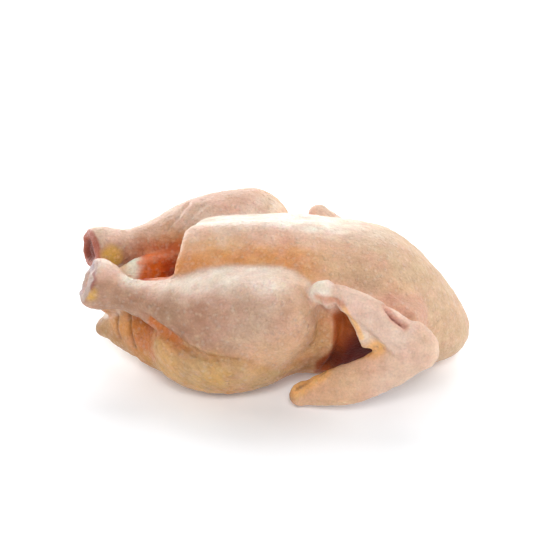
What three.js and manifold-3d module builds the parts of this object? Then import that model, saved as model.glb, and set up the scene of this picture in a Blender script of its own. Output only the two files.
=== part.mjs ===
// A whole raw chicken lying on its back: breast up, tail towards -X, neck towards +X.
// Millimetres, +Z up. The near side is -Y. The origin is under the middle, on the surface it lies on.

import * as THREE from "three";
import { mergeVertices } from "three/addons/utils/BufferGeometryUtils.js";
import { SimplifyModifier } from "three/addons/modifiers/SimplifyModifier.js";
import Module from "manifold-3d";

// Step of the grid that the skin is traced on, and the triangles that are kept of it.
const CELL = 3;
const TRIANGLES = 11800;

// Body, from the hidden rear end to the neck end, at even steps along its length.
const BODY_REAR = -112;
const BODY_FRONT = 143;
const BODY_CENTRES = [62, 58, 54, 52, 47, 24];
const BODY_WIDTHS = [68, 62, 59, 60, 60, 56];
const BODY_HEIGHTS = [70, 58, 55.5, 55, 57.5, 53];
const BODY_SQUARENESS = 2.2;

// Sides, as a sign of Y.
const NEAR = -1;
const FAR = 1;

// Joins of two signed distances, with a fillet of about the given width.
const fuse = (a, b, blend) => Math.min(a, b) - Math.max(blend - Math.abs(a - b), 0) ** 2 / (4 * blend);
const carve = (a, b, blend) => -fuse(-a, b, blend);

const vector = (p) => new THREE.Vector3(...p);

// A value that runs smoothly through evenly spaced stations, at t from 0 to 1.
function profile(values, t) {
  const n = values.length - 1;
  const i = Math.min(Math.floor(t * n), n - 1);
  const f = t * n - i;
  const [a, b, c, d] = [Math.max(i - 1, 0), i, i + 1, Math.min(i + 2, n)].map((k) => values[k]);
  return b + 0.5 * f * (c - a + f * (2 * a - 5 * b + 4 * c - d + f * (3 * (b - c) + d - a)));
}

// Distance from an ellipsoid-like surface: k0 is 1 on it, k1 is the slope of k0 times k0.
const shell = (k0, k1, smallest) => (k1 < 1e-9 ? -smallest : (k0 * (k0 - 1)) / k1);

// A round-ended body along X whose middle height, half-width and half-height change along it.
function barrel(rear, front, centres, widths, heights, power) {
  const middle = (rear + front) / 2;
  const half = (front - rear) / 2;
  return (p) => {
    const along = (p.x - middle) / half;
    const t = THREE.MathUtils.clamp((along + 1) / 2, 0, 1);
    const w = profile(widths, t);
    const h = profile(heights, t);
    const y = p.y / w;
    const z = (p.z - profile(centres, t)) / h;
    const around = (Math.abs(y) ** power + Math.abs(z) ** power) ** (1 / power);
    return shell(Math.hypot(along, around), Math.hypot(along / half, y / w, z / h), Math.min(w, h));
  };
}

// A limb or muscle that follows a curve, with its half-width and half-thickness along it.
// The thickness is measured along `flat`.
function limb(points, widths, thicknesses = widths, flat = [0, 0, 1]) {
  const steps = points.length > 2 ? 12 : 1;
  const stops = points.map(vector);
  const line = steps > 1 ? new THREE.CatmullRomCurve3(stops).getPoints(steps) : stops;
  const normal = vector(flat).normalize();
  const edges = line.slice(1).map((p, i) => p.clone().sub(line[i]));
  const lengths = edges.map((s) => s.lengthSq());
  const hull = new THREE.Box3().setFromPoints(line);
  const reach = Math.max(...widths, ...thicknesses);
  const offset = new THREE.Vector3();
  return (p) => {
    const clear = hull.distanceToPoint(p) - reach * 1.3;
    if (clear > 20) return clear;
    let best = Infinity;
    let at = 0;
    let across = 0;
    for (let i = 0; i < edges.length; i++) {
      offset.copy(p).sub(line[i]);
      const t = THREE.MathUtils.clamp(offset.dot(edges[i]) / lengths[i], 0, 1);
      offset.addScaledVector(edges[i], -t);
      const d = offset.lengthSq();
      if (d < best) {
        best = d;
        at = (i + t) / edges.length;
        across = offset.dot(normal);
      }
    }
    const w = profile(widths, at);
    const h = profile(thicknesses, at);
    const side = Math.sqrt(Math.max(best - across * across, 0));
    const ratio = Math.hypot(side / w, across / h);
    return shell(ratio, Math.hypot(side / (w * w), across / (h * h)), Math.min(w, h));
  };
}

// An ellipsoid, its first radius along `along` and its third nearest to `up`.
function ball(centre, radii, along = [1, 0, 0], up = [0, 0, 1]) {
  const x = vector(along).normalize();
  const y = vector(up).cross(x).normalize();
  const z = x.clone().cross(y);
  const c = vector(centre);
  const q = new THREE.Vector3();
  const [a, b, d] = radii;
  return (p) => {
    q.copy(p).sub(c);
    const [u, v, w] = [q.dot(x) / a, q.dot(y) / b, q.dot(z) / d];
    return shell(Math.hypot(u, v, w), Math.hypot(u / a, v / b, w / d), Math.min(a, b, d));
  };
}

// A web of skin: the triangle of three points, with a rounded edge.
function web(a, b, c, thickness) {
  const triangle = new THREE.Triangle(vector(a), vector(b), vector(c));
  const near = new THREE.Vector3();
  return (p) => triangle.closestPointToPoint(p, near).distanceTo(p) - thickness / 2;
}

// Everything in front of a plane.
function beyond(point, normal) {
  const plane = new THREE.Plane().setFromNormalAndCoplanarPoint(vector(normal).normalize(), vector(point));
  return (p) => -plane.distanceToPoint(p);
}

// body
const body = barrel(BODY_REAR, BODY_FRONT, BODY_CENTRES, BODY_WIDTHS, BODY_HEIGHTS, BODY_SQUARENESS);
const keel = limb([[-60, -6, 97], [-20, -6, 102], [20, -5, 100], [50, -3, 95]], [8, 9, 9, 7]);
const breastEnd = beyond([-68, -25, 80], [-0.95, 0.25, 0]);
const flanks = [ball([10, -41, 46], [34, 24, 33]), ball([-4, 42, 45], [36, 24, 37])];

// pelvis, belly and tail
const pelvis = limb([[-96, 0, 33], [-66, 0, 33], [-20, 0, 34]], [27, 38, 44], [24, 32, 34]);
const rumps = [NEAR, FAR].map((s) => ball([-72, 24 * s, 25], [30, 22, 20]));
const belly = ball([-72, 0, 52], [46, 33, 34]);
const bellyTop = beyond([-112, 0, 64], [-0.3, 0, 1]);
const bellyFlaps = [NEAR, FAR].map((s) =>
  limb([[-118, 12 * s, 53], [-93, 18 * s, 60], [-66, 26 * s, 65]], [11, 14, 13], [4, 5, 5], [0, 1, 0]),
);
const tail = limb([[-88, 0, 24], [-107, -2, 25], [-122, -3, 26]], [28, 21, 9], [19, 14, 7]);
const cavity = limb(
  [[-132, 0, 74], [-92, 0, 62], [-50, 0, 50], [0, 0, 44], [42, 0, 42]],
  [19, 23, 31, 33, 27],
  [22, 22, 28, 30, 24],
);

// legs
const LEG_RADII = [33, 33.5, 28.5, 17.5, 12.5, 13];
const LEG_DEPTHS = [28, 29, 26, 16, 10.5, 12];
const NEAR_LEG = [[-1, -54, 63], [-48, -45, 60.5], [-88, -37, 67], [-122, -29, 75]];
const FAR_LEG = [[-20, 58, 75], [-62, 48, 70.5], [-102, 37, 72], [-131, 30, 74.5]];
const legs = [
  {
    thigh: ball([-30, -44, 37], [56, 36, 35.5], [1, 0.1, 0.04]),
    drumstick: limb(NEAR_LEG, LEG_RADII, LEG_DEPTHS, [0, 1, 0]),
    knob: ball([-124, -29, 76], [17, 15, 18.5], [1, 0, 0.2]),
    cut: beyond([-132, -30, 76], [-0.9, -0.12, 0.42]),
  },
  {
    thigh: ball([-36, 46, 38], [56, 36, 36.5], [1, -0.1, 0.04]),
    drumstick: limb(FAR_LEG, LEG_RADII, LEG_DEPTHS, [0, 1, 0]),
    knob: ball([-126, 29, 73.5], [19, 15, 16.5], [1, -0.2, 0.06]),
    cut: beyond([-136.5, 30, 76], [-0.87, -0.48, 0.08]),
  },
];

// wings
function wing(side, shoulder, elbow, wrist, tip, rise) {
  const between = (a, b, t, y, z) => {
    const [bx, by, bz] = a.map((value, axis) => value + (b[axis] - value) * t);
    return [bx, by + y * side, bz + z];
  };
  const face = [0.1, 0.85 * side, 0.5];
  const lean = [0, 0.7 * side, 0.7];
  const fold = [elbow[0] + 20, elbow[1] + 9 * side, elbow[2] - 12];
  const inner = [wrist[0] - 35, wrist[1] - 5 * side, wrist[2] + 1];
  return {
    upperArm: limb([shoulder, between(shoulder, elbow, 0.5, 2, -4), elbow], [14, 9, 6]),
    forearm: limb([elbow, between(elbow, wrist, 0.35, 2, rise), wrist], [7, 9.5, 13], [6, 7, 9], lean),
    hand: limb([wrist, between(wrist, tip, 0.5, 3, -6), tip], [15, 14.5, 13.5, 8], [9, 8, 7, 5], face),
    web: web(fold, inner, wrist, 6),
  };
}
const wings = [
  wing(NEAR, [92, -49, 58], [33, -59, 86], [97, -80, 53], [18, -71, 11], 7.5),
  wing(FAR, [92, 47, 50], [33, 59, 89], [94, 75, 42], [22, 72, 12], -6),
];

// Signed distance from the skin, negative inside.
function skin(p) {
  let d = carve(fuse(body(p), keel(p), 12), breastEnd(p), 6);
  d = fuse(d, fuse(pelvis(p), carve(belly(p), bellyTop(p), 5), 8), 10);
  for (const flank of flanks) d = fuse(d, flank(p), 6);
  for (const l of legs) d = fuse(d, l.thigh(p), 6);
  for (const rump of rumps) d = fuse(d, rump(p), 14);
  d = carve(d, cavity(p), 4);
  for (const flap of bellyFlaps) d = fuse(d, flap(p), 5);
  d = fuse(d, tail(p), 8);
  for (const l of legs) d = fuse(d, carve(fuse(l.drumstick(p), l.knob(p), 8), l.cut(p), 2), 4);
  for (const w of wings) {
    d = fuse(d, w.upperArm(p), 10);
    d = fuse(d, fuse(fuse(w.forearm(p), w.hand(p), 5), w.web(p), 4), 4);
  }
  return d;
}

// Corners, edges and faces of a grid cell. A corner's three bits are its steps along X, Y and Z.
const CORNERS = [0, 1, 2, 3, 4, 5, 6, 7].map((c) => new THREE.Vector3(c & 1, (c >> 1) & 1, c >> 2));
const EDGES = CORNERS.flatMap((_, c) => [1, 2, 4].filter((bit) => !(c & bit)).map((bit) => [c, c | bit]));
const FACES = [1, 2, 4].flatMap((bit) =>
  [0, bit].map((side) => EDGES.filter((e) => e.every((c) => (c & bit) === side))),
);
const edgeNumber = (corner, axis) =>
  EDGES.findIndex(([a, b]) => a === corner && b === (corner | (1 << axis)));

// The patches of surface in a cell, as lists of the edges that they cross, for each set of inside corners.
const PATCHES = Array.from({ length: 256 }, (_, corners) => {
  const inside = (corner) => (corners >> corner) & 1;
  const patches = EDGES.filter(([a, b]) => inside(a) !== inside(b)).map((edge) => new Set([edge]));
  const patchOf = (edge) => patches.findIndex((patch) => patch.has(edge));
  for (const face of FACES) {
    const crossed = face.filter((edge) => patchOf(edge) >= 0);
    for (const edge of crossed)
      for (const other of crossed) {
        const shared = edge.some((corner) => inside(corner) && other.includes(corner));
        const joined = crossed.length === 2 || shared;
        if (!joined || patchOf(edge) === patchOf(other)) continue;
        const [taken] = patches.splice(patchOf(other), 1);
        for (const moved of taken) patches[patchOf(edge)].add(moved);
      }
  }
  return patches.map((patch) => [...patch].map((edge) => EDGES.indexOf(edge)));
});

// Traces the zero surface of a distance on a grid.
// Each patch gets a point, and each crossed edge a quad.
function trace(distance, box, cell) {
  const size = box.getSize(new THREE.Vector3()).divideScalar(cell).ceil();
  const [nx, ny, nz] = [size.x + 1, size.y + 1, size.z + 1];
  const value = new Float32Array(nx * ny * nz).fill(1);
  const id = (i, j, k) => i + nx * (j + ny * k);
  const each = (start, visit) => {
    for (let k = start; k < nz - 1; k++)
      for (let j = start; j < ny - 1; j++)
        for (let i = start; i < nx - 1; i++) visit(i, j, k);
  };
  const p = new THREE.Vector3();
  each(1, (i, j, k) => {
    value[id(i, j, k)] = distance(p.set(i, j, k).multiplyScalar(cell).add(box.min));
  });

  const points = [];
  const pointOf = new Map();
  const steps = CORNERS.map((c) => id(c.x, c.y, c.z));
  each(0, (i, j, k) => {
    const here = id(i, j, k);
    const corners = steps.reduce((set, step, c) => (value[here + step] < 0 ? set | (1 << c) : set), 0);
    for (const patch of PATCHES[corners]) {
      const sum = new THREE.Vector3();
      for (const number of patch) {
        const [a, b] = EDGES[number];
        const [from, to] = [value[here + steps[a]], value[here + steps[b]]];
        sum.add(p.lerpVectors(CORNERS[a], CORNERS[b], from / (from - to)));
        pointOf.set(here * 12 + number, points.length / 3);
      }
      sum.divideScalar(patch.length).add(p.set(i, j, k)).multiplyScalar(cell).add(box.min);
      points.push(...sum);
    }
  });

  const index = [];
  const rings = [0, 1, 2].map((axis) => {
    const [u, v] = [(axis + 1) % 3, (axis + 2) % 3].map((n) => 1 << n);
    return [u | v, v, 0, u].map((corner) => [steps[corner], edgeNumber(corner, axis)]);
  });
  each(1, (i, j, k) => {
    const here = id(i, j, k);
    for (let axis = 0; axis < 3; axis++) {
      const inside = value[here] < 0;
      if (inside === value[here + steps[1 << axis]] < 0) continue;
      const [a, b, c, d] = rings[axis].map(([step, number]) => pointOf.get((here - step) * 12 + number));
      if (inside) index.push(a, b, c, a, c, d);
      else index.push(a, c, b, a, d, c);
    }
  });
  return new THREE.BufferGeometry()
    .setAttribute("position", new THREE.Float32BufferAttribute(points, 3))
    .setIndex(index);
}

const wasm = await Module();
wasm.setup();

function solidOf(geometry) {
  const bare = geometry.clone();
  for (const name of ["normal", "uv"]) bare.deleteAttribute(name);
  const merged = mergeVertices(bare, 1e-4);
  return new wasm.Manifold(
    new wasm.Mesh({
      numProp: 3,
      vertProperties: new Float32Array(merged.getAttribute("position").array),
      triVerts: new Uint32Array(merged.getIndex().array),
    }),
  );
}

function geometryOf(solid) {
  const mesh = solid.getMesh();
  return new THREE.BufferGeometry()
    .setAttribute("position", new THREE.BufferAttribute(mesh.vertProperties, 3))
    .setIndex(new THREE.BufferAttribute(mesh.triVerts, 1));
}

async function birdGeometry() {
  const box = new THREE.Box3(new THREE.Vector3(-150, -115, -8), new THREE.Vector3(152, 115, 122));
  const fine = trace(skin, box, CELL);
  const surplus = fine.getAttribute("position").count - TRIANGLES / 2;
  const light = await new SimplifyModifier().modify(fine, surplus);
  const below = new THREE.BoxGeometry(400, 400, 40).translate(0, 0, -20);
  const geometry = geometryOf(solidOf(light).subtract(solidOf(below)));
  geometry.computeBoundingBox();
  const middle = geometry.boundingBox.getCenter(new THREE.Vector3());
  return geometry.translate(-middle.x, -middle.y, 0);
}

const bird = new THREE.Group();
const chicken = new THREE.Mesh(
  await birdGeometry(),
  new THREE.MeshStandardMaterial({ color: 0xe2b896, roughness: 0.5, metalness: 0 }),
);
chicken.name = "chicken";
bird.add(chicken);

export default bird;
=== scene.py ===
import math

import bpy
import numpy as np
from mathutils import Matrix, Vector, noise


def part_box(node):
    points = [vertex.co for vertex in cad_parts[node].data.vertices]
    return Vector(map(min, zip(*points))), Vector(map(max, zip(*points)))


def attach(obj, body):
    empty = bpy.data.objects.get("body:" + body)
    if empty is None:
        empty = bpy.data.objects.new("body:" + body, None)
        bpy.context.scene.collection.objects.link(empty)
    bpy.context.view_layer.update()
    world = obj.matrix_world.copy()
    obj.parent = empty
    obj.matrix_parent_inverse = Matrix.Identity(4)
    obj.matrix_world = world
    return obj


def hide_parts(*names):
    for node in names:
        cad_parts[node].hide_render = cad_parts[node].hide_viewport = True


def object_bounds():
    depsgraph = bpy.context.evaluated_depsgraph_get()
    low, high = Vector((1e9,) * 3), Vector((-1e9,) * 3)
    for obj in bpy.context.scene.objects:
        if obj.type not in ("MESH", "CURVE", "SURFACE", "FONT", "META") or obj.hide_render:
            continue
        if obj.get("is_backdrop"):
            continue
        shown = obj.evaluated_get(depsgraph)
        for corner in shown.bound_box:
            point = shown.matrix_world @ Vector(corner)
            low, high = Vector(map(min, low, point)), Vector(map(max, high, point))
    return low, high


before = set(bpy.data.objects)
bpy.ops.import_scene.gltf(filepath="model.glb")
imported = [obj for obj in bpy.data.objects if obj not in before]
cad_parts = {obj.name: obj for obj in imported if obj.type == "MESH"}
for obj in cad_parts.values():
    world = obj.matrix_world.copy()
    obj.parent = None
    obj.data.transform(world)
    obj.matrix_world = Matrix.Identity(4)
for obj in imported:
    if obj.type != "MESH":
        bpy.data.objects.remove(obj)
BOUNDS_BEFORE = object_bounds()

MM = 0.001
CELL = 1.6  # step of the fine grid
COARSE = 4  # fine steps in one coarse step
BAND = 1.7  # coarse steps on either side of the skin that are worked out in full

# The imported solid's box: the forms are moved as one until their middle lies over its middle.
BOX_LOW, BOX_HIGH = (np.array(corner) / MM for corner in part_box("chicken"))

# The part of space that is searched for the skin.
REGION_LOW = np.array([-150.0, -112.0, -6.0])
REGION_HIGH = np.array([152.0, 112.0, 120.0])

# Body, from the hidden rear end to the neck end, at even steps along its length.
BODY_REAR = -112
BODY_FRONT = 143
BODY_CENTRES = [62, 58, 54, 52, 47, 24]
BODY_WIDTHS = [68, 62, 59, 60, 60, 56]
BODY_HEIGHTS = [70, 58, 55.5, 55, 57.5, 53]
BODY_SQUARENESS = 2.2

# Radii of a leg from thigh to cut, across it and through it.
LEG_RADII = [33, 33.5, 28.5, 17.5, 12.5, 13]
LEG_DEPTHS = [28, 29, 26, 16, 10.5, 12]

# The side that the camera sees, and the other one, as the sign of y.
NEAR = -1
FAR = 1

LIMB_SPARE = 1.3  # a limb's radii, joined by a curve, can pass the greatest by this much
FULL_WITHIN = 20  # a limb's distance is worked out in full this near to it


def vec(p):
    return np.array(p, dtype=np.float32)


def unit(p):
    return vec(p) / np.linalg.norm(p)


def fuse(a, b, blend):
    """Two forms as one, with a soft join as wide as the blend."""
    return np.minimum(a, b) - np.maximum(blend - np.abs(a - b), 0) ** 2 / (4 * blend)


def carve(a, b, blend):
    """What is left of a when b is taken away."""
    return -fuse(-a, b, blend)


def profile(values, t):
    """The value at t from 0 to 1 on a smooth curve through evenly spaced values."""
    v = vec(values)
    n = len(values) - 1
    i = np.minimum((t * n).astype(int), n - 1)
    f = t * n - i
    a, b, c, d = v[np.maximum(i - 1, 0)], v[i], v[i + 1], v[np.minimum(i + 2, n)]
    return b + 0.5 * f * (c - a + f * (2 * a - 5 * b + 4 * c - d + f * (3 * (b - c) + d - a)))


def length(*parts):
    return np.sqrt(sum(q * q for q in parts))


def shell(level, steepness):
    """Distance from a rounded form, from its level, which is 1 on its skin."""
    return level * (level - 1) / np.maximum(steepness, 1e-6)


def smooth(low, high, value):
    """0 at low, 1 at high and a soft step between them; low may be the greater."""
    t = np.clip((value - low) / (high - low), 0, 1)
    return t * t * (3 - 2 * t)


def bell(distance, width):
    return np.exp(-((distance / width) ** 2))


def barrel(rear, front, centres, widths, heights, power):
    middle = (rear + front) / 2
    half = (front - rear) / 2

    def distance(p):
        along = (p[:, 0] - middle) / half
        t = np.clip((along + 1) / 2, 0, 1)
        w = profile(widths, t)
        h = profile(heights, t)
        y = p[:, 1] / w
        z = (p[:, 2] - profile(centres, t)) / h
        around = (np.abs(y) ** power + np.abs(z) ** power) ** (1 / power)
        return shell(length(along, around), length(along / half, y / w, z / h))

    return distance


def through(points, steps=12):
    """Points along the smooth curve through the given ones, as a centripetal spline gives them."""
    pts = vec(points)
    if len(pts) == 2:
        return pts
    n = len(pts) - 1
    ends = np.vstack([2 * pts[0] - pts[1], pts, 2 * pts[-1] - pts[-2]]).astype(np.float64)

    def at(u):
        k = min(int(u * n), n - 1)
        w = u * n - k
        p = ends[k : k + 4]
        gap = [np.sum((p[j + 1] - p[j]) ** 2) ** 0.25 for j in range(3)]
        t1 = (p[1] - p[0]) / gap[0] - (p[2] - p[0]) / (gap[0] + gap[1]) + (p[2] - p[1]) / gap[1]
        t2 = (p[2] - p[1]) / gap[1] - (p[3] - p[1]) / (gap[1] + gap[2]) + (p[3] - p[2]) / gap[2]
        t1, t2 = t1 * gap[1], t2 * gap[1]
        square = -3 * p[1] + 3 * p[2] - 2 * t1 - t2
        cube = 2 * p[1] - 2 * p[2] + t1 + t2
        return p[1] + w * (t1 + w * (square + w * cube))

    return vec([at(k / steps) for k in range(steps + 1)])


def limb(points, widths, thicknesses=None, flat=(0, 0, 1)):
    """A form along a curve: its thicknesses are measured along flat, its widths across that."""
    thicknesses = thicknesses or widths
    line = through(points)
    normal = unit(flat)
    edges = np.diff(line, axis=0)
    low, high = line.min(axis=0), line.max(axis=0)
    reach = max(max(widths), max(thicknesses)) * LIMB_SPARE

    def distance(p):
        outside = np.maximum(np.maximum(low - p, p - high), 0)
        out = np.linalg.norm(outside, axis=1) - reach
        close = out < FULL_WITHIN
        q = p[close]
        best = np.full(len(q), np.inf, np.float32)
        at = np.zeros(len(q), np.float32)
        across = np.zeros(len(q), np.float32)
        for i, edge in enumerate(edges):
            offset = q - line[i]
            t = np.clip(offset @ edge / (edge @ edge), 0, 1)
            offset = offset - t[:, None] * edge
            d = np.sum(offset * offset, axis=1)
            nearer = d < best
            best = np.where(nearer, d, best)
            at = np.where(nearer, (i + t) / len(edges), at)
            across = np.where(nearer, offset @ normal, across)
        w = profile(widths, at)
        h = profile(thicknesses, at)
        side = np.sqrt(np.maximum(best - across * across, 0))
        out[close] = shell(length(side / w, across / h), length(side / (w * w), across / (h * h)))
        return out

    return distance


def ball(centre, radii, along=(1, 0, 0)):
    x = unit(along)
    y = unit(np.cross((0, 0, 1), x))
    z = np.cross(x, y)
    a, b, d = radii

    def distance(p):
        q = p - vec(centre)
        u, v, w = q @ x / a, q @ y / b, q @ z / d
        return shell(length(u, v, w), length(u / a, v / b, w / d))

    return distance


def web(a, b, c, thickness):
    """Skin stretched between three corners."""
    a, b, c = vec(a), vec(b), vec(c)
    normal = unit(np.cross(b - a, c - a))

    def distance(p):
        best = np.full(len(p), np.inf, np.float32)
        inside = np.ones(len(p), bool)
        for start, end in ((a, b), (b, c), (c, a)):
            edge = end - start
            offset = p - start
            inside &= offset @ np.cross(normal, edge) >= 0
            t = np.clip(offset @ edge / (edge @ edge), 0, 1)
            best = np.minimum(best, np.linalg.norm(offset - t[:, None] * edge, axis=1))
        return np.where(inside, np.abs((p - a) @ normal), best) - thickness / 2

    return distance


def beyond(point, normal):
    """All that lies beyond a plane through the point, on the side that the normal points to."""
    n = unit(normal)
    return lambda p: -((p - vec(point)) @ n)


# body
body = barrel(BODY_REAR, BODY_FRONT, BODY_CENTRES, BODY_WIDTHS, BODY_HEIGHTS, BODY_SQUARENESS)
keel = limb([[-60, -6, 97], [-20, -6, 102], [20, -5, 100], [50, -3, 95]], [8, 9, 9, 7])
breast_end = beyond([-68, -25, 80], [-0.95, 0.25, 0])
flanks = [ball([10, -41, 46], [34, 24, 33]), ball([-4, 42, 45], [36, 24, 37])]

# pelvis, belly and tail
pelvis = limb([[-96, 0, 33], [-66, 0, 33], [-20, 0, 34]], [27, 38, 44], [24, 32, 34])
rumps = [ball([-72, 24 * s, 25], [30, 22, 20]) for s in (NEAR, FAR)]
belly = ball([-72, 0, 52], [46, 33, 34])
belly_top = beyond([-112, 0, 64], [-0.3, 0, 1])
belly_flaps = [
    limb([[-118, 12 * s, 53], [-93, 18 * s, 60], [-66, 26 * s, 65]], [11, 14, 13], [4, 5, 5], (0, 1, 0))
    for s in (NEAR, FAR)
]
tail = limb([[-88, 0, 24], [-107, -2, 25], [-122, -3, 26]], [28, 21, 9], [19, 14, 7])
cavity = limb(
    [[-132, 0, 74], [-92, 0, 62], [-50, 0, 50], [0, 0, 44], [42, 0, 42]],
    [19, 23, 31, 33, 27],
    [22, 22, 28, 30, 24],
)

# legs
NEAR_LEG = [[-1, -54, 63], [-48, -45, 60.5], [-88, -37, 67], [-122, -29, 75]]
FAR_LEG = [[-20, 58, 75], [-62, 48, 70.5], [-102, 37, 72], [-131, 30, 74.5]]
legs = [
    {
        "thigh": ball([-30, -44, 37], [56, 36, 35.5], [1, 0.1, 0.04]),
        "drumstick": limb(NEAR_LEG, LEG_RADII, LEG_DEPTHS, (0, 1, 0)),
        "knob": ball([-124, -29, 76], [17, 15, 18.5], [1, 0, 0.2]),
        "cut": beyond([-132, -30, 76], [-0.9, -0.12, 0.42]),
    },
    {
        "thigh": ball([-36, 46, 38], [56, 36, 36.5], [1, -0.1, 0.04]),
        "drumstick": limb(FAR_LEG, LEG_RADII, LEG_DEPTHS, (0, 1, 0)),
        "knob": ball([-126, 29, 73.5], [19, 15, 16.5], [1, -0.2, 0.06]),
        "cut": beyond([-136.5, 30, 76], [-0.87, -0.48, 0.08]),
    },
]
CUT_MIDDLES = vec([[-133, -29, 77], [-136, 27, 74]])


def wing(side, shoulder, elbow, wrist, tip, rise):
    """A folded wing. Its forearm bends up by the rise, in millimetres."""

    def between(a, b, t, y, z):
        bx, by, bz = (value + (b[axis] - value) * t for axis, value in enumerate(a))
        return [bx, by + y * side, bz + z]

    upper_arm = [shoulder, between(shoulder, elbow, 0.5, 2, -4), elbow]
    forearm = [elbow, between(elbow, wrist, 0.35, 2, rise), wrist]
    hand = [wrist, between(wrist, tip, 0.5, 3, -6), tip]
    lean = (0, 0.7 * side, 0.7)
    face = (0.1, 0.85 * side, 0.5)
    fold = [elbow[0] + 20, elbow[1] + 9 * side, elbow[2] - 12]
    inner = [wrist[0] - 35, wrist[1] - 5 * side, wrist[2] + 1]
    return {
        "upper_arm": limb(upper_arm, [14, 9, 6]),
        "forearm": limb(forearm, [7, 9.5, 13], [6, 7, 9], lean),
        "hand": limb(hand, [15, 14.5, 13.5, 8], [9, 8, 7, 5], face),
        "web": web(fold, inner, wrist, 6),
    }


wings = [
    wing(NEAR, [92, -49, 58], [33, -59, 86], [97, -80, 53], [18, -71, 11], 7.5),
    wing(FAR, [92, 47, 50], [33, 59, 89], [94, 75, 42], [22, 72, 12], -6),
]


def skin(p):
    """Distance of places from the bird's skin, below 0 in the flesh, with the ground as its floor."""
    d = carve(fuse(body(p), keel(p), 12), breast_end(p), 6)
    d = fuse(d, fuse(pelvis(p), carve(belly(p), belly_top(p), 5), 8), 10)
    for flank in flanks:
        d = fuse(d, flank(p), 6)
    for leg in legs:
        d = fuse(d, leg["thigh"](p), 6)
    for rump in rumps:
        d = fuse(d, rump(p), 14)
    d = carve(d, cavity(p), 4)
    for flap in belly_flaps:
        d = fuse(d, flap(p), 5)
    d = fuse(d, tail(p), 8)
    for leg in legs:
        d = fuse(d, carve(fuse(leg["drumstick"](p), leg["knob"](p), 8), leg["cut"](p), 2), 4)
    for w in wings:
        d = fuse(d, w["upper_arm"](p), 10)
        d = fuse(d, fuse(fuse(w["forearm"](p), w["hand"](p), 5), w["web"](p), 4), 4)
    return np.maximum(d, -p[:, 2])


# tracing

CORNERS = np.array([[c & 1, (c >> 1) & 1, c >> 2] for c in range(8)])
EDGES = [(corner, axis) for corner in range(8) for axis in range(3) if not (corner >> axis) & 1]


def sample(distance, low, high, cell):
    """Distances on a grid, exact near the surface and only right in sign elsewhere."""
    step = cell * COARSE
    blocks = np.ceil((high - low) / step).astype(int)
    index = np.stack(np.meshgrid(*(np.arange(n) for n in blocks), indexing="ij"), axis=-1).reshape(-1, 3)
    rough = distance(vec(low + (index + 0.5 - 0.5 / COARSE) * step))
    value = rough.reshape(blocks)
    for axis in range(3):
        value = np.repeat(value, COARSE, axis=axis)
    near = index[np.abs(rough) < BAND * step] * COARSE
    local = np.stack(np.meshgrid(*[np.arange(COARSE)] * 3, indexing="ij"), axis=-1).reshape(-1, 3)
    cells = (near[:, None, :] + local[None, :, :]).reshape(-1, 3)
    value[tuple(cells.T)] = distance(vec(low + cells * cell))
    return value


def trace(value, low, cell):
    """One point for each cell that the zero surface crosses, and a quad round each crossed edge."""
    inside = value < 0
    size = np.array(value.shape)

    def shifted(corner):
        return tuple(slice(c, n - 1 + c) for c, n in zip(corner, size))

    count = sum(inside[shifted(corner)].astype(np.int8) for corner in CORNERS)
    active = (count > 0) & (count < 8)
    cells = np.argwhere(active)
    total = np.zeros((len(cells), 3))
    crossings = np.zeros(len(cells))
    for corner, axis in EDGES:
        start = cells + CORNERS[corner]
        end = start.copy()
        end[:, axis] += 1
        a, b = value[tuple(start.T)], value[tuple(end.T)]
        crossed = (a < 0) != (b < 0)
        t = np.where(crossed, a / np.where(crossed, a - b, 1), 0)
        point = CORNERS[corner] + np.eye(3)[axis] * t[:, None]
        total += point * crossed[:, None]
        crossings += crossed
    traced = low + (cells + total / crossings[:, None]) * cell
    number = np.full(active.shape, -1)
    number[active] = np.arange(len(cells))

    faces = []
    for axis in range(3):
        u, v = (axis + 1) % 3, (axis + 2) % 3
        core = inside[1:-1, 1:-1, 1:-1]
        following = inside[tuple(slice(2, None) if k == axis else slice(1, -1) for k in range(3))]
        here = np.argwhere(core != following) + 1
        flip = ~inside[tuple(here.T)]
        back_u, back_v = np.eye(3, dtype=int)[u], np.eye(3, dtype=int)[v]
        ring = [number[tuple((here - s).T)] for s in (back_u + back_v, back_v, 0 * back_u, back_u)]
        quad = np.stack(ring, axis=1)
        quad[flip] = quad[flip][:, ::-1]
        faces.append(quad)
    return traced, np.vstack(faces)


def slope(distance, p, step=0.4):
    """The distance's value and gradient."""
    value = distance(p)
    gradient = np.stack([distance(p + vec(np.eye(3)[k] * step)) - value for k in range(3)], axis=1) / step
    return value, gradient


# what the camera sees, in the photograph's pixels

PHOTO = 554
ELEVATION = math.radians(28)
LENS = 100
SENSOR = 36
DISTANCE = 1111
TARGET = vec([2, 0, 66])
BACK = vec([0, -math.cos(ELEVATION), math.sin(ELEVATION)])
UP = vec([0, math.sin(ELEVATION), math.cos(ELEVATION)])

# A ray starts this far before the target and runs on by a share of its distance from the skin.
RAY_START = 190
RAY_STEPS = 90
RAY_SHARE = 0.7
RAY_BACK = -3
RAY_ON = 20


def seen(pixels):
    """The places on the skin that these pixels of the photograph show."""
    px = vec(pixels)
    k = SENSOR / (LENS * PHOTO)
    ray = -BACK + (px[:, :1] - PHOTO / 2) * k * vec([1, 0, 0]) - (px[:, 1:] - PHOTO / 2) * k * UP
    ray /= np.linalg.norm(ray, axis=1, keepdims=True)
    eye = TARGET + DISTANCE * BACK
    run = np.full((len(px), 1), DISTANCE - RAY_START, np.float32)
    for _ in range(RAY_STEPS):
        run += RAY_SHARE * np.clip(skin(eye + ray * run), RAY_BACK, RAY_ON)[:, None]
    return eye + ray * run


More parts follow.
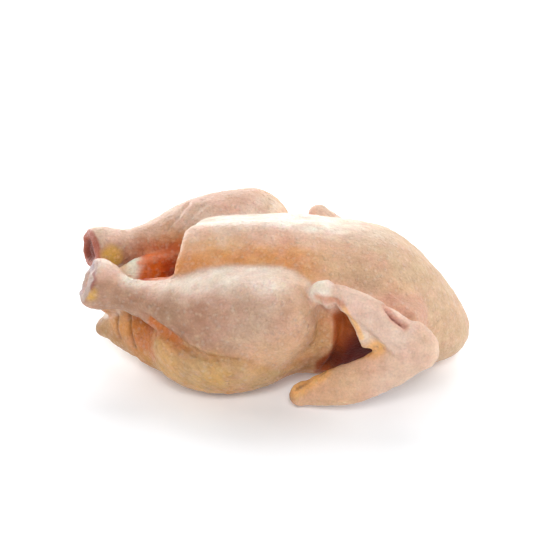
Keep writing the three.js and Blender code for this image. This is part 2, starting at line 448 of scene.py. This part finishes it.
def in_photo(places):
    """Where these places show in the photograph, in pixels across and down."""
    from_eye = places - TARGET - DISTANCE * BACK
    depth = -(from_eye @ BACK) * SENSOR / (LENS * PHOTO)
    return PHOTO / 2 + from_eye[:, 0] / depth, PHOTO / 2 - (from_eye @ UP) / depth


# Lines on the skin, each through a few pixels of the photograph.
LEG_EDGE = [(147, 312), (160, 322), (173, 332), (187, 343), (207, 354), (232, 358), (252, 359)]
LEG_TOP = [(180, 276), (200, 270), (230, 264), (270, 264), (300, 268), (330, 284)]
LEG_CREASE = [(146, 316), (158, 325), (171, 335), (185, 346), (206, 357), (234, 361)]
LEG_ROLL = [(150, 309), (163, 319), (177, 329), (190, 339), (209, 349), (234, 352)]
LEG_CUT_RIM = [(82, 292), (84, 278), (93, 266)]
LEG_CUT_CREASE = [(94, 271), (94, 280), (91, 289)]
FAR_LEG_CREASES = [
    [(166, 230), (178, 216), (188, 203)],
    [(175, 233), (186, 219), (197, 206)],
    [(184, 226), (194, 214), (204, 205)],
]
THIGH_PLEATS = [
    [(190, 348), (194, 353), (197, 359)],
    [(201, 353), (206, 358), (210, 364)],
    [(214, 356), (219, 360), (225, 364)],
]
THIGH_SWELL = [(160, 346), (182, 360), (212, 369), (245, 372)]
TAIL_CREASES = [
    [(117, 314), (117, 326), (120, 338)],
    [(129, 314), (130, 330), (134, 347)],
    [(138, 316), (141, 332), (147, 350)],
]
TAIL_TOP_EDGE = [(98, 319), (108, 315), (118, 312)]
FLAP_EDGE = [(140, 263), (152, 259), (165, 256), (176, 257)]
BREAST_RIDGE = [(187, 231), (230, 227), (280, 230), (323, 239)]
BREAST_BLUSH = [(200, 232), (240, 233), (290, 238), (335, 249), (385, 265)]
FLANK_RIM = [(326, 300), (333, 325), (329, 350), (316, 367)]
FLANK_GROOVE = [(334, 300), (342, 325), (338, 350), (326, 367)]
WING_CREASE = [(385, 307), (390, 314), (396, 320), (404, 326)]
WING_CREASE_CORE = [(386, 309), (390, 314), (396, 320), (402, 325)]
WING_FOLD = [(389, 297), (400, 305), (411, 315), (420, 326)]
ELBOW_CREASE = [(317, 297), (328, 300), (341, 304)]
ELBOW_FOLD = [(316, 291), (325, 284), (334, 283), (345, 287)]
WRIST_CREASE = [(404, 330), (414, 335), (424, 336)]
HAND_CREASE = [(378, 348), (388, 346), (398, 342)]
HAND_RIDGE = [(352, 357), (335, 365), (318, 373), (300, 384)]
HAND_EDGE = [(376, 347), (350, 361), (325, 373), (297, 389)]
WEB_EDGE = [(329, 300), (338, 303), (346, 311), (353, 320), (358, 330), (361, 338)]

# Single pixels of the photograph, each the middle of a patch of colour.
FAR_LEG_FAT = (112, 257)
NEAR_LEG_FAT = (88, 294)
ELBOW_TIP = (320, 289)
WING_TIP = (289, 394)

# Pixels across the photograph between which a colour comes in or goes out.
LEG_EDGE_IN = (145, 150)
LEG_EDGE_OUT = (262, 236)
BREAST_BAND_IN = (172, 180)
BREAST_BAND_OUT = (345, 280)
THIGH_ORANGE_OUT = (206, 168)
THIGH_SHADE_IN = (160, 200)
THIGH_BROWN_IN = (160, 190)

# Creases and raised lines: where they run, their half-width and their height in millimetres.
LINES = [
    (WING_CREASE, 1.5, -3.6),
    (WING_FOLD, 4.0, 2.0),
    (ELBOW_CREASE, 1.8, -1.6),
    (ELBOW_FOLD, 3.2, 1.2),
    (LEG_CREASE, 2.4, -3.4),
    (LEG_ROLL, 3.2, 1.2),
    *((pleat, 1.3, -1.0) for pleat in THIGH_PLEATS),
    (THIGH_SWELL, 8.0, 1.6),
    (FLANK_RIM, 3.4, 2.0),
    (FLANK_GROOVE, 3.0, -4.2),
    (TAIL_CREASES[0], 1.7, -1.5),
    (TAIL_CREASES[1], 1.9, -2.2),
    (TAIL_CREASES[2], 2.0, -1.4),
    (FAR_LEG_CREASES[0], 1.8, -1.8),
    (FAR_LEG_CREASES[1], 1.8, -1.8),
    (FAR_LEG_CREASES[2], 1.8, -1.6),
    (WRIST_CREASE, 1.6, -0.9),
    (HAND_CREASE, 1.8, -1.2),
    (BREAST_RIDGE, 4.5, 0.8),
    (HAND_RIDGE, 2.6, 1.0),
]


# the skin as a mesh

points, quads = trace(sample(skin, REGION_LOW, REGION_HIGH, CELL), REGION_LOW, CELL)
points = vec(points)
sides = np.vstack([quads[:, [0, 1]], quads[:, [1, 2]], quads[:, [2, 3]], quads[:, [3, 0]]])
sides = np.vstack([sides, sides[:, ::-1]])


def spread(values):
    """The mean of each point's neighbours."""
    count = np.bincount(sides[:, 0], minlength=len(values))
    total = [np.bincount(sides[:, 0], part[sides[:, 1]], len(values)) for part in np.atleast_2d(values.T)]
    return (np.array(total) / count).T.reshape(values.shape).astype(np.float32)


def evened(places, share):
    """The mesh's points moved by a share of the way to the mean of their neighbours."""
    return places + share * (spread(places) - places)


def mesh_normals(verts):
    corners = verts[quads]
    across = np.cross(corners[:, 2] - corners[:, 0], corners[:, 3] - corners[:, 1])
    total = [np.bincount(quads.ravel(), np.repeat(across[:, axis], 4), len(verts)) for axis in range(3)]
    total = np.array(total).T
    return (total / np.maximum(np.linalg.norm(total, axis=1, keepdims=True), 1e-9)).astype(np.float32)


# The points are evened out, drawn back onto the skin and evened out again.
MOST_PULL = 0.8
LEAST_STEEPNESS = 0.5
points = evened(points, 0.5)
off_skin, gradient = slope(skin, points)
steepness = np.maximum(np.sum(gradient**2, axis=1), LEAST_STEEPNESS)
points -= gradient * np.clip(off_skin, -MOST_PULL, MOST_PULL)[:, None] / steepness[:, None]
points = evened(points, 0.5)
normals = mesh_normals(points)
for _ in range(2):
    normals += spread(normals)
    normals /= np.linalg.norm(normals, axis=1, keepdims=True)
middle = (points.min(axis=0) + points.max(axis=0)) / 2
shift = (BOX_LOW + BOX_HIGH) / 2 - middle
shift[2] = 0


def noise_at(scale, seed, stretch=(1, 1, 1)):
    """Soft noise about 0 on the skin, with lumps of this size in millimetres, drawn out by the stretch."""
    q = points.astype(float) / scale / np.array(stretch) + seed
    return np.array([noise.noise(Vector(v)) for v in q], dtype=np.float32)


def from_line(pixels):
    """Distance of each point of the skin from a smooth line through places seen in the photograph."""
    line = through(seen(pixels), 16)
    best = np.full(len(points), np.inf, np.float32)
    for start, end in zip(line[:-1], line[1:]):
        edge = end - start
        offset = points - start
        t = np.clip(offset @ edge / (edge @ edge), 0, 1)
        best = np.minimum(best, np.linalg.norm(offset - t[:, None] * edge, axis=1))
    return best


def patch(pixel, radius, soft=0.6):
    """1 round a place seen in the photograph, fading to 0 at the radius in millimetres."""
    away = np.linalg.norm(points - seen([pixel])[0], axis=1)
    return smooth(radius, radius * (1 - soft), away + 0.12 * radius * wander)


x, y, z = points.T
photo_x, photo_y = in_photo(points)
facing_up = normals[:, 2]
lumps = noise_at(26, 3.1)
blush = noise_at(19, 2.2)
mottle = noise_at(11, 6.1)
wander = noise_at(14, 8.8) + 0.5 * noise_at(6, 4.4)
drift = noise_at(32, 2.9) + 0.4 * wander
folds = noise_at(9, 7.7, (2.6, 1, 1))
crinkle = noise_at(5.2, 1.3)
pebble = noise_at(3.3, 9.4)

# Where each part of the bird shows: 1 on it, 0 off it, with an uneven edge.
near_leg, far_leg = (np.minimum(leg["drumstick"](points), leg["knob"](points)) for leg in legs)
on_near_leg = smooth(6, 0, near_leg + 1.5 * wander)
on_far_leg = smooth(6, 0, far_leg + 1.5 * wander)
on_far_leg *= smooth(-2, 10, 6 - far_leg - 0.22 * (x + 30) + 3 * drift)
under_leg = photo_y - np.interp(photo_x, *np.transpose(LEG_EDGE))
beside_leg = smooth(*LEG_EDGE_IN, photo_x) * smooth(*LEG_EDGE_OUT, photo_x) * smooth(-6, -14, y)
on_near_leg *= 1 - beside_leg * smooth(-0.8, 1.2, under_leg + 0.5 * wander)
on_leg = np.maximum(on_near_leg, on_far_leg)
off_leg = 1 - on_leg
to_wing = [np.minimum(np.minimum(w["forearm"](points), w["hand"](points)), w["web"](points)) for w in wings]
on_wings = smooth(4, 0.5, np.minimum(*to_wing))
off_wings = 1 - on_wings
on_hands = np.maximum(*[smooth(3, -3, w["hand"](points) - w["forearm"](points)) for w in wings]) * on_wings
on_shoulder = np.maximum(*[smooth(9, 1, w["upper_arm"](points) + wander) for w in wings]) * off_wings
on_thigh = np.maximum(*[smooth(16, -1, leg["thigh"](points) + 4 * drift) for leg in legs])
on_thigh *= off_leg * off_wings * smooth(-90, -74, x + 6 * wander)
in_cavity = smooth(3.5, 0.5, np.maximum(cavity(points), -body(points) - 12)) * off_leg
on_tail = smooth(9, 0, tail(points) + wander) * smooth(-84, -104, x + 4 * wander)
before_tail = smooth(-106, -99, x)
on_flap = np.maximum(*[smooth(4, 0.5, flap(points)) for flap in belly_flaps]) * off_leg
on_near_side = smooth(10, -10, y)
off_keel = smooth(30, 44, np.abs(y))
fold_edge = 40 - 12 * smooth(44, 28, z)
# The folds beside the wings, where the skin faces down, which get painted shade.
fold_shade = smooth(-1.5, 2, x - fold_edge + 0.8 * wander) * smooth(90, 74, x)
fold_shade *= smooth(76, 66, z)
fold_shade *= smooth(0.6, 0.2, facing_up)
fold_shade *= off_keel * off_wings * off_leg

# The sawn leg ends: distance from the middle of each cut, and where the cut faces are.
from_middle = [np.linalg.norm(points - centre, axis=1) for centre in CUT_MIDDLES]
on_cut = [
    smooth(1.8, 0.5, np.abs(leg["cut"](points))) * smooth(24, 21, away)
    for leg, away in zip(legs, from_middle)
]

# relief

height = 0.9 * lumps + 0.5 * folds * off_wings + 0.4 * crinkle + 0.34 * pebble
slant = np.stack([(x - z) / 12, y / 8, (x + z) / 2.6], axis=1)
striae = np.array([noise.noise(Vector(v)) for v in slant.astype(float)], dtype=np.float32)
striae *= smooth(10, -40, x) * smooth(70, 50, z)
height += 0.6 * on_thigh * striae
height += 0.6 * on_tail * noise_at(6, 5.5, (0.8, 3, 3))
height += 0.5 * on_wings * noise_at(6.5, 4.2)
height += 0.35 * on_shoulder * noise_at(7, 3.7)
for pixels, width, rise in LINES:
    height += rise * bell(from_line(pixels), width)
height *= smooth(0.0, 4.0, z)

# Each cut is rough, with sunken marrow and a raised ring of bone round it.
for cut, away in zip(on_cut, from_middle):
    marrow = 1.6 * smooth(9, 6, away)
    bone = 0.9 * bell(away - 10, 1.8)
    sawn = 1.4 * crinkle + 0.7 * pebble - marrow + bone
    height += cut * (sawn - height)

relieved = evened(points + normals * height[:, None], 0.25)
relieved[:, 2] = np.maximum(relieved[:, 2], 0)


# colour


def linear(r, g, b):
    """A screen colour, from 0 to 255, as the light that it stands for."""
    c = np.array([r, g, b]) / 255
    return np.where(c <= 0.04045, c / 12.92, ((c + 0.055) / 1.055) ** 2.4).astype(np.float32)


CREAM = (253, 240, 224)
WHITE_FAT = (255, 244, 228)
PEACH = (232, 184, 142)
TAN = (222, 150, 84)
GOLD = (214, 180, 146)
MAUVE = (206, 168, 144)
PALE_PINK = (236, 204, 184)
PINK = (222, 166, 142)
OCHRE = (204, 164, 116)
ORANGE = (202, 104, 32)
SALMON = (240, 146, 100)
RED_BROWN = (124, 44, 16)
DARK_PINK = (150, 72, 66)
BRIGHT_ORANGE = (232, 112, 30)
RED = (170, 40, 8)
DEEP_RED = (150, 22, 4)
MAROON = (92, 18, 4)
YELLOW_FAT = (216, 170, 80)
AMBER = (250, 194, 124)
RUST = (202, 142, 74)
BROWN = (132, 70, 28)
LILAC = (172, 148, 152)
SHADED_FLANK = (168, 84, 32)
HONEY = (222, 168, 96)
SHADE = (204, 148, 96)
DULL = (184, 146, 96)
LEG_SHADE = (178, 134, 106)
BONE = (196, 170, 158)

# How much red, green and blue change with the small patches and with the wide blush.
PATCH_CHANNELS = vec([0.8, 1.1, 1.3])
BLUSH_CHANNELS = vec([0.02, -0.06, -0.05])
MOST_TONE = 0.98

tone = np.tile(linear(*PEACH), (len(points), 1))


def paint(colour, mask):
    """Lays a colour over the skin, as thickly as the mask says from 0 to 1."""
    global tone
    tone = tone + (linear(*colour) - tone) * np.clip(mask, 0, 1)[:, None]


# breast and neck
off_middle = np.where(y < 4, 4 - y, np.maximum(y - 34, 0)) + 5 * wander
side_on = smooth(8, 36, off_middle)
paint(TAN, 0.95 * smooth(64, -44, x + 14 * drift) * side_on)
paint(GOLD, 0.9 * smooth(0, 84, x + 14 * drift))
paint(MAUVE, 0.5 * smooth(10, 40, x) * smooth(90, 60, x) * smooth(98, 80, z + 3 * drift))
over_leg = np.interp(photo_x, *np.transpose(LEG_TOP)) - photo_y + 4 * drift
breast_band = 0.75 * smooth(26, 2, over_leg) * smooth(*BREAST_BAND_OUT, photo_x)
paint(TAN, breast_band * smooth(*BREAST_BAND_IN, photo_x) * smooth(-6, -16, y))
# Cream fat on the breast's top, made lighter still as a painted highlight.
paint(CREAM, 0.96 * (1 - side_on) * smooth(100, 20, x + 10 * drift) * smooth(88, 98, z))
streaks = smooth(0.05, 0.4, noise_at(4.5, 5.9, (5, 1, 1)))
paint(PINK, 0.25 * smooth(34, 16, np.abs(y + 4)) * smooth(88, 102, z) * streaks)
paint(PEACH, 0.35 * smooth(0.1, 0.6, drift) * smooth(40, 80, z))
paint(PINK, 0.3 * smooth(12, 3, from_line(BREAST_BLUSH) + 3 * wander))

# thighs, pelvis and tail
paint(RUST, (0.4 + 0.6 * before_tail) * smooth(-56, -84, x + 8 * drift) * smooth(88, 60, z) * off_leg)
pelvis_side = before_tail * (0.15 + 0.45 * on_near_side) * smooth(-68, -86, x + 8 * drift)
paint(ORANGE, pelvis_side * smooth(18, 34, z + 4 * wander) * off_leg)
paint(OCHRE, on_thigh)
paint(HONEY, (0.3 + 0.4 * on_near_side) * on_thigh * smooth(-0.1, 0.5, drift))
paint(PEACH, 0.6 * on_thigh * smooth(-40, 0, x + 8 * wander) * smooth(0.0, 0.4, blush))
# The tail is olive, painted lighter ochre where it faces up: painted light from above.
paint(DULL, on_tail)
paint(OCHRE, 0.7 * on_tail * smooth(0.2, 0.8, facing_up))
# Dark brown in the two deepest tail creases: painted shade.
for crease in TAIL_CREASES[:2]:
    paint(BROWN, 0.6 * smooth(2.4, 0.6, from_line(crease)))
# A pale cream line along the tail's top edge.
paint(CREAM, 0.7 * smooth(3, 1, from_line(TAIL_TOP_EDGE)) * off_leg)
paint(TAN, 0.4 * smooth(12, 2, z))

# legs
paint(MAUVE, on_leg)
paint(PALE_PINK, (0.7 * on_far_leg + 0.5 * on_near_leg) * smooth(-96, -114, x + 6 * wander))
near_edge = beside_leg * smooth(-1, 1, under_leg) * (1 - on_near_leg)
paint(ORANGE, 0.75 * near_edge * smooth(26, 4, under_leg + 6 * wander) * smooth(*THIGH_ORANGE_OUT, photo_x))
# Below the drumstick's lower edge: a band of painted shade, and a thin dark line of painted shadow where
# drumstick meets thigh.
paint(SHADE, 0.6 * near_edge * smooth(9, 1, under_leg + 2 * wander) * smooth(*THIGH_SHADE_IN, photo_x))
paint(BROWN, 0.4 * near_edge * smooth(2.5, 0.5, under_leg) * smooth(*THIGH_BROWN_IN, photo_x))
# The legs' rear parts that face sideways and down are darker: painted shade.
paint(LEG_SHADE, 0.9 * on_leg * smooth(-10, -60, x + 8 * wander) * smooth(0.9, 0.3, facing_up))
paint(PEACH, 0.8 * on_leg * smooth(-40, 0, x + 8 * wander) * smooth(74, 44, z))
# The legs' upward faces are paler and the near leg's top is cream: painted highlight.
paint(PALE_PINK, (on_near_leg + 0.5 * on_far_leg) * smooth(0.5, 0.97, facing_up + 0.15 * wander))
paint(CREAM, 0.65 * on_near_leg * smooth(0.72, 0.98, facing_up + 0.1 * wander))
paint(PEACH, 0.5 * on_leg * smooth(-5, 25, x))
paint(PINK, 0.5 * on_far_leg * smooth(-60, -20, x))
# Tan on the far leg's lower inner side towards the rear: painted shade.
paint(TAN, 0.6 * on_far_leg * smooth(-110, -60, x) * smooth(56, 40, y) * smooth(98, 80, z + 3 * wander))

# The inner side of the far leg turns from orange to red towards the cavity: painted shade and reflected
# orange light.
for colour, share, from_knob, inwards, downwards in (
    (BRIGHT_ORANGE, 0.7, (-120, -80), (44, 28), (92, 68)),
    (ORANGE, 1, (-100, -74), (42, 30), (88, 70)),
    (RED, 0.8, (-96, -78), (42, 30), (86, 70)),
):
    inner_side = share * on_far_leg * smooth(*from_knob, x) * smooth(*inwards, y)
    paint(colour, inner_side * smooth(*downwards, z + 3 * wander))
paint(YELLOW_FAT, 0.95 * patch(FAR_LEG_FAT, 12))
paint(YELLOW_FAT, 0.95 * patch(NEAR_LEG_FAT, 9))

# wings
paint(PINK, 0.8 * on_shoulder)
paint(PALE_PINK, on_wings)
paint(PEACH, 0.85 * on_hands)
paint(PALE_PINK, 0.4 * on_hands * smooth(50, 90, x))
# A cream patch on the elbow's tip: painted highlight.
paint(CREAM, 0.9 * patch(ELBOW_TIP, 11))
from_hand_edge = from_line(HAND_EDGE)
paint(PALE_PINK, 0.5 * on_hands * smooth(40, 80, x + 6 * wander) * smooth(6, 14, from_hand_edge))
paint(BROWN, 0.45 * patch(WING_TIP, 9))
paint(AMBER, on_wings * smooth(9, 2.5, from_hand_edge + 1.5 * wander))
# A thin red-brown line along the hand's upper edge: painted shadow.
paint(RED_BROWN, 0.6 * on_wings * smooth(1.5, 0.4, from_hand_edge + 0.5 * wander))
paint(AMBER, 0.8 * on_wings * smooth(3, 1, from_line(WEB_EDGE)))
for crease, width in ((WING_CREASE, 2.5), (ELBOW_CREASE, 2)):
    paint(PINK, 0.9 * smooth(2 * width, width / 2, from_line(crease)))
# The dark core of the wrist crease: painted shade.
paint(DARK_PINK, 0.8 * smooth(1.6, 0.5, from_line(WING_CREASE_CORE)))

# flanks and the folds beside the wings, with painted shade, shadow and highlight
# A band of painted shade on the flank, beside the thigh.
shaded = smooth(-4, 8, x - 27 + 0.6 * (66 - z) + 2 * wander) * smooth(74, 64, z) * smooth(48, 40, x)
paint(SHADE, 0.85 * shaded * off_keel * off_wings)
# A peach line along the flank fold's raised rim: painted highlight.
paint(PEACH, 0.6 * smooth(2.6, 0.8, from_line(FLANK_RIM)) * off_wings)
# Orange-brown skin in the folds, deepening to red-brown and maroon: painted shade.
paint(SHADED_FLANK, fold_shade)
paint(RED_BROWN, 0.8 * fold_shade * smooth(46, 54, x + wander) * smooth(62, 48, z + 3 * wander))
paint(MAROON, fold_shade * smooth(44, 56, x + wander) * smooth(50, 36, z + 3 * wander))
# Maroon on the body just above the hand's edge: painted shadow.
shadow_by_hand = off_wings * smooth(20, 4, from_hand_edge + 2 * wander) * smooth(58, 48, z) * smooth(8, 22, x)
paint(MAROON, 0.85 * shadow_by_hand)

# belly flaps, cavity and cut ends
paint(BRIGHT_ORANGE, on_flap)
paint(DEEP_RED, in_cavity * (1 - on_flap * smooth(-66, -80, x)))
paint(RED, 0.8 * on_flap * smooth(-90, -74, x + 4 * wander))
# The flaps' upward faces are lighter salmon: painted light from above.
paint(SALMON, 0.4 * on_flap * smooth(0.5, 0.9, facing_up))
paint(WHITE_FAT, on_flap * smooth(-93, -101, x + 4 * wander) * smooth(-0.3, 0.3, facing_up + 0.2 * wander))
paint(PEACH, 0.8 * on_flap * smooth(-104, -113, x + 2 * wander))
paint(SALMON, 0.8 * on_flap * smooth(3, 1, from_line(FLAP_EDGE)))
paint(RED, 0.8 * in_cavity * smooth(0.1, 0.4, blush))
paint(BONE, on_cut[0])
paint(LILAC, 0.8 * on_near_leg * smooth(6, 2, from_line(LEG_CUT_RIM)))
paint(DARK_PINK, 0.7 * on_near_leg * smooth(2.2, 0.6, from_line(LEG_CUT_CREASE) + 0.5 * wander))
paint(PINK, 0.6 * on_cut[0] * smooth(9, 6, from_middle[0]))
paint(RED, 0.6 * on_cut[1])
paint(MAROON, 0.65 * on_cut[1] * smooth(10, 7, from_middle[1] + wander))

patches = 0.12 * mottle + 0.09 * noise_at(5, 3.9, (2.5, 1, 1)) + 0.09 * crinkle
patches += 0.2 * on_thigh * striae
tone = tone * (1 + patches[:, None] * PATCH_CHANNELS)
tone = tone * (1 + blush[:, None] * BLUSH_CHANNELS)
tone = np.clip(tone, 0, MOST_TONE)


# the piece


def mesh_object(name, verts, faces):
    mesh = bpy.data.meshes.new(name)
    mesh.from_pydata(verts.tolist(), [], faces.tolist())
    mesh.polygons.foreach_set("use_smooth", np.ones(len(mesh.polygons), dtype=bool))
    mesh.update()
    piece = bpy.data.objects.new(name, mesh)
    bpy.context.scene.collection.objects.link(piece)
    return piece


chicken = mesh_object("raw_chicken", (relieved + shift) * MM, quads)


def attribute(name, values):
    """Keeps a number or a colour for each point of the chicken's mesh."""
    is_colour = values.ndim == 2
    layer = chicken.data.attributes.new(name, "FLOAT_COLOR" if is_colour else "FLOAT", "POINT")
    if is_colour:
        opaque = np.ones((len(values), 1))
        layer.data.foreach_set("color", np.hstack([values, opaque]).astype(np.float32).ravel())
    else:
        layer.data.foreach_set("value", values.astype(np.float32))


# Where shade is painted, the skin's blotches and follicles are fainter.
painted_shade = np.maximum(fold_shade, shadow_by_hand)
attribute("tone", tone)
attribute("pores", np.clip(1 - in_cavity - on_cut[0] - on_cut[1] - 0.4 * on_wings - painted_shade, 0, 1))
attribute("wet", np.clip(in_cavity + 0.6 * on_cut[0] + on_cut[1] + on_flap, 0, 1))


class Nodes:
    """Makes the nodes of one material."""

    # The sockets of a Mix node that hold colours.
    MIX_FIRST = 6
    MIX_SECOND = 7
    MIX_RESULT = 2

    def __init__(self, name):
        self.material = bpy.data.materials.new(name)
        self.material.use_nodes = True
        self.tree = self.material.node_tree
        self.shader = self.tree.nodes["Principled BSDF"]

    def add(self, kind, inputs=None, **settings):
        node = self.tree.nodes.new(kind)
        for key, setting in settings.items():
            setattr(node, key, setting)
        for key, source in (inputs or {}).items():
            self.put(source, node.inputs[key])
        return node

    def put(self, source, socket):
        if isinstance(source, bpy.types.NodeSocket):
            self.tree.links.new(source, socket)
        else:
            socket.default_value = source

    def surface(self, inputs):
        """Sets or links the shader's own sockets."""
        for key, source in inputs.items():
            self.put(source, self.shader.inputs[key])

    def attribute(self, name, output="Fac"):
        return self.add("ShaderNodeAttribute", attribute_name=name).outputs[output]

    def place(self):
        return self.add("ShaderNodeTexCoord").outputs["Object"]

    def math(self, operation, a, b):
        return self.add("ShaderNodeMath", {0: a, 1: b}, operation=operation).outputs[0]

    def times(self, product, *factors):
        for factor in factors:
            product = self.math("MULTIPLY", product, factor)
        return product

    def mix(self, factor, a, b, blend="MIX"):
        node = self.add("ShaderNodeMix", data_type="RGBA", blend_type=blend)
        self.put(factor, node.inputs["Factor"])
        self.put(a, node.inputs[self.MIX_FIRST])
        self.put(b, node.inputs[self.MIX_SECOND])
        return node.outputs[self.MIX_RESULT]

    def noise(self, coordinates, scale, detail, roughness=0.55):
        inputs = {"Vector": coordinates, "Scale": scale, "Detail": detail, "Roughness": roughness}
        return self.add("ShaderNodeTexNoise", inputs).outputs["Fac"]

    def ramp(self, value, low, high):
        node = self.add("ShaderNodeMapRange", {"Value": value, "From Min": low, "From Max": high})
        return node.outputs["Result"]


# Marks on the skin: lumps in a metre.
BLUSH_SCALE = 95
FAT_SCALE = 160
SHEEN_SCALE = 210
FOLLICLE_SCALE = 235
WRINKLE_SCALE = 330
SPECKLE_SCALE = 620
CRINKLE_SCALE = 900
WRINKLE_STRETCH = (0.45, 1, 1)
BUMP_HEIGHT = 0.0018

BLUSH_COLOUR = (0.80, 0.42, 0.34, 1)
FAT_COLOUR = (0.93, 0.72, 0.48, 1)
SPECKLE_COLOUR = (0.55, 0.5, 0.48, 1)
PIT_COLOUR = (0.42, 0.24, 0.16, 1)
FOLLICLE_COLOUR = (0.94, 0.83, 0.72, 1)
WHITE = (1, 1, 1, 1)


def skin_material():
    n = Nodes("raw_skin")
    place = n.place()
    pores = n.attribute("pores")
    wet = n.attribute("wet")

    # Colour: blotches of pink and yellow fat, fine dark speckles, and pale follicles with a dark pit.
    pink = n.ramp(n.noise(place, BLUSH_SCALE, 4), 0.48, 0.72)
    colour = n.mix(n.times(pink, pores, 0.3), n.attribute("tone", "Color"), BLUSH_COLOUR)
    fat = n.ramp(n.noise(place, FAT_SCALE, 5, 0.65), 0.52, 0.74)
    colour = n.mix(n.times(fat, pores, 0.28), colour, FAT_COLOUR)
    speckle = n.ramp(n.noise(place, SPECKLE_SCALE, 3), 0.35, 0.65)
    colour = n.mix(0.3, colour, n.mix(speckle, SPECKLE_COLOUR, WHITE), "MULTIPLY")
    cells = n.add("ShaderNodeTexVoronoi", {"Vector": place, "Scale": FOLLICLE_SCALE, "Randomness": 0.8})
    follicle = n.ramp(cells.outputs["Distance"], 0.42, 0.08)
    pit = n.ramp(cells.outputs["Distance"], 0.13, 0.02)
    colour = n.mix(n.times(pit, pores, 0.34), colour, PIT_COLOUR)
    colour = n.mix(n.times(follicle, pores, 0.14), colour, FOLLICLE_COLOUR)

    # Surface: raised follicles, fine crinkle and wrinkles, and a moist film that breaks up.
    bumps = n.times(n.math("SUBTRACT", follicle, pit), n.times(pores, 0.5))
    fine = n.noise(place, CRINKLE_SCALE, 4, 0.6)
    drawn_out = n.add("ShaderNodeMapping", {"Vector": place, "Scale": WRINKLE_STRETCH}).outputs[0]
    wrinkles = n.noise(drawn_out, WRINKLE_SCALE, 4)
    relief = n.math("ADD", bumps, n.math("ADD", n.times(fine, 0.5), n.times(wrinkles, 0.9)))
    bump = n.add("ShaderNodeBump", {"Height": relief, "Strength": 1.0, "Distance": BUMP_HEIGHT})
    sheen = n.ramp(n.noise(place, SHEEN_SCALE, 4), 0.3, 0.75)
    rough = n.math("ADD", n.times(sheen, 0.2), 0.36)
    n.surface(
        {
            "Base Color": colour,
            "Normal": bump.outputs["Normal"],
            "Roughness": n.math("SUBTRACT", rough, n.times(wet, 0.1)),
            "Subsurface Weight": 0.3,
            "Subsurface Radius": (1.0, 0.42, 0.22),
            "Subsurface Scale": 0.0025,
            "IOR": 1.4,
            "Specular IOR Level": 0.32,
            "Coat Weight": 0.1,
            "Coat Roughness": 0.22,
        }
    )
    return n.material


chicken.data.materials.append(skin_material())
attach(chicken, "root")
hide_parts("chicken")


# ground, light and camera

GROUND_HALF = 1.3
GROUND_DARKER = (0.93, 0.94, 0.95, 1)
GROUND_PALER = (0.96, 0.97, 0.98, 1)
GLOW_COLOUR = (0.82, 0.91, 1, 1)
GLOW_NEAR = 0.14
GLOW_GROWTH = 0.8
GLOW_FROM = 0.45  # metres from the bird, where the glow starts to grow
GLOW_TO = 1.2

# Soft boxes: name, place, width and height in metres, and power. All of them face the bird.
LIGHT_AIM = (0, 0, 0.05)
LIGHTS = [
    ("rim", (0.0, 1.5, 0.42), (1.6, 0.5), 11),
    ("rim_left", (-1.1, 1.1, 0.5), (0.8, 0.6), 13),
    ("top_back", (0.1, 0.8, 1.1), (1.3, 0.9), 9),
    ("front", (0.0, -1.4, 1.3), (0.7, 0.6), 20),
    ("left", (-1.4, 0.2, 0.7), (0.9, 0.9), 5),
    ("right", (1.4, 0.2, 0.7), (0.9, 0.9), 13),
]

# The sky is bright up to just above the horizon and nearly dark above that.
SKY_FADE = {"From Min": 0.05, "From Max": 0.15, "To Min": 1.0, "To Max": 0.05}


def ground():
    """A pale floor that glows more with distance, so that its far edge doesn't show."""
    a = GROUND_HALF
    piece = mesh_object(
        "ground",
        np.array([[-a, -a, 0], [a, -a, 0], [a, a, 0], [-a, a, 0]]),
        np.array([[0, 1, 2, 3]]),
    )
    n = Nodes("pale_ground")
    place = n.place()
    shade = n.ramp(n.noise(place, 4, 2), 0.3, 0.7)
    outward = n.add("ShaderNodeVectorMath", {0: place}, operation="LENGTH").outputs["Value"]
    glow = n.times(n.ramp(outward, GLOW_FROM, GLOW_TO), GLOW_GROWTH)
    n.surface(
        {
            "Base Color": n.mix(shade, GROUND_DARKER, GROUND_PALER),
            "Roughness": 0.7,
            "Specular IOR Level": 0.2,
            "Emission Color": GLOW_COLOUR,
            "Emission Strength": n.math("ADD", glow, GLOW_NEAR),
        }
    )
    piece.data.materials.append(n.material)
    piece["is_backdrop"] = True


def area_light(name, place, size, power):
    data = bpy.data.lights.new(name, "AREA")
    data.shape = "RECTANGLE"
    data.size, data.size_y = size
    data.energy = power
    light = bpy.data.objects.new(name, data)
    light.location = place
    light.rotation_euler = (Vector(LIGHT_AIM) - Vector(place)).to_track_quat("-Z", "Y").to_euler()
    bpy.context.scene.collection.objects.link(light)


def studio_sky():
    world = bpy.data.worlds.new("studio")
    world.use_nodes = True
    nodes = world.node_tree.nodes
    links = world.node_tree.links
    direction = nodes.new("ShaderNodeTexCoord")
    split = nodes.new("ShaderNodeSeparateXYZ")
    fade = nodes.new("ShaderNodeMapRange")
    for socket, setting in SKY_FADE.items():
        fade.inputs[socket].default_value = setting
    links.new(direction.outputs["Generated"], split.inputs[0])
    links.new(split.outputs["Z"], fade.inputs["Value"])
    links.new(fade.outputs["Result"], nodes["Background"].inputs["Strength"])
    nodes["Background"].inputs["Color"].default_value = WHITE
    bpy.context.scene.world = world


def photo_camera():
    lens = bpy.data.cameras.new("camera")
    lens.lens = LENS
    lens.sensor_width = SENSOR
    camera = bpy.data.objects.new("camera", lens)
    camera.location = Vector(((TARGET + DISTANCE * BACK + shift) * MM).tolist())
    camera.rotation_euler = Vector((-BACK).tolist()).to_track_quat("-Z", "Y").to_euler()
    bpy.context.scene.collection.objects.link(camera)
    bpy.context.scene.camera = camera


ground()
for light_row in LIGHTS:
    area_light(*light_row)
studio_sky()
photo_camera()
bpy.context.scene.view_settings.view_transform = "Standard"

str([[list(map(float, corner)) for corner in box] for box in (BOUNDS_BEFORE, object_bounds())])
